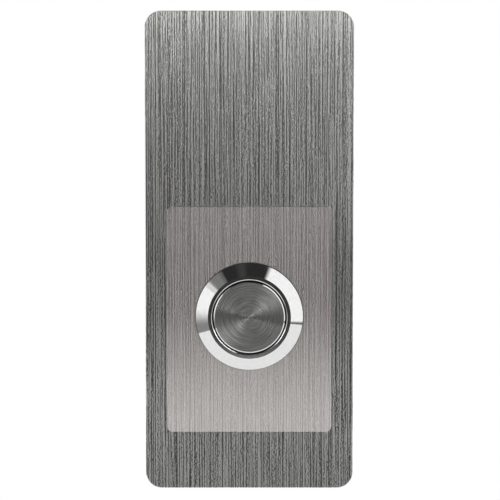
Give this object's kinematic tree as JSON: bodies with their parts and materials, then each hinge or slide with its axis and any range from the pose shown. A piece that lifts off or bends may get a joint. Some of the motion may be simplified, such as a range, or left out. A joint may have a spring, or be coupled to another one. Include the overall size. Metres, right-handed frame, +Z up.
{
  "type": "doorbell push",
  "caption": "Wall doorbell push: tall brushed steel plate with a smaller brushed trim plate and a round metal push button whose sprung cap closes a contact behind the plate.",
  "frame": {"origin": "middle of the wall plate's back face, which is the middle of the two wall studs", "axes": "+Z up along the plate's length, +Y into the wall, -Y towards the caller, +X to the caller's right"},
  "size_m": [0.0428, 0.031, 0.0984],
  "materials": {
    "dark_brushed_steel": "vertically brushed dark steel",
    "light_brushed_steel": "vertically brushed light steel",
    "polished_stainless": "mirror polished",
    "spun_stainless": "spun brushed in circles",
    "plain_stainless": "cold drawn",
    "zinc_plated_steel": "bright zinc plate",
    "nickel_plated_brass": "bright nickel plate",
    "spring_steel": "drawn wire and blank",
    "contact_brass": "stamped",
    "contact_silver": "satin",
    "black_rubber": "matte",
    "adhesive_foam": "matte",
    "black_nylon": "moulded, fine grain",
    "white_nylon": "moulded"
  },
  "bodies": {
    "housing": {"base_plate": "dark_brushed_steel", "wall_studs": "plain_stainless", "trim_tape": "adhesive_foam", "trim_plate": "light_brushed_steel", "head_seal": "black_rubber", "button_body": "polished_stainless", "lock_washer": "zinc_plated_steel", "panel_nut": "nickel_plated_brass", "return_spring": "spring_steel", "contact_base": "black_nylon", "terminal_left": "contact_brass", "terminal_right": "contact_brass", "terminal_contacts": "contact_silver", "wire_clamps": "zinc_plated_steel", "terminal_screws": "zinc_plated_steel"},
    "button": {"button_cap": "spun_stainless", "cap_ring": "black_rubber", "retaining_clip": "spring_steel", "plunger": "white_nylon", "contact_spring": "spring_steel", "contact_bridge": "contact_brass", "bridge_contacts": "contact_silver"}
  },
  "joints": [
    {"name": "button_press", "type": "slide", "parent": "housing", "child": "button", "axis": [0, 1, 0], "range_m": [0, 0.0018], "stiffness_N_per_m": 600, "springref_m": -0.002, "deforming": ["return_spring"]}
  ]
}
